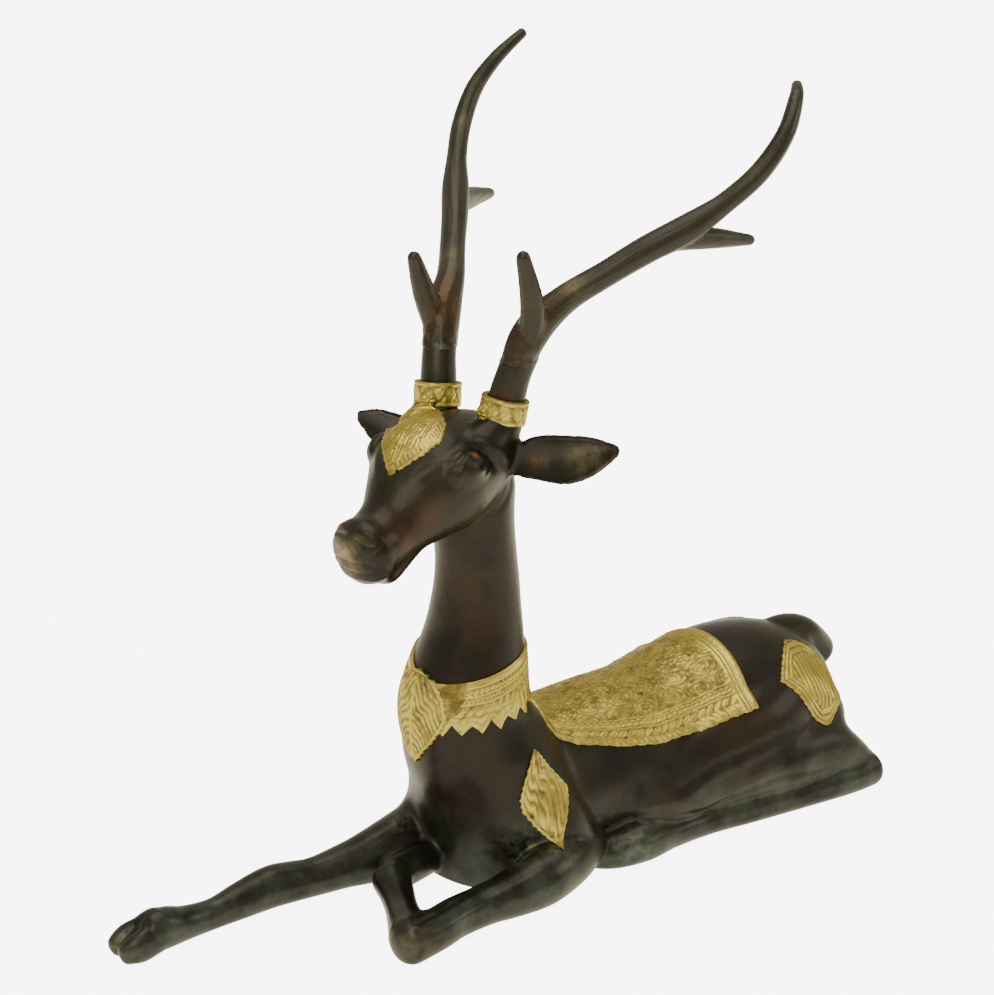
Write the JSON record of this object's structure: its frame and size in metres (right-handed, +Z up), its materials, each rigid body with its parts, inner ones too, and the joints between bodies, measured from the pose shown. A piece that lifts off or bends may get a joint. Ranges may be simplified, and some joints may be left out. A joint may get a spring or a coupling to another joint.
{
  "type": "deer sculpture",
  "caption": "A lying bronze stag with its head raised and turned, one foreleg stretched out, branching antlers, and a gilt saddle cloth, collar and lozenges.",
  "frame": {"origin": "on the ground, under the middle of the whole figure's bounding box", "axes": "+X towards the tail, so the stag faces -X; +Y towards its right side; +Z up"},
  "size_m": [0.4384, 0.2032, 0.3874],
  "materials": {
    "bronze": "dark brown patina, satin",
    "gilding": "matte pale gold over chased relief"
  },
  "bodies": {
    "root": {"deer": "bronze", "antler_left": "bronze", "antler_right": "bronze"}
  },
  "joints": []
}
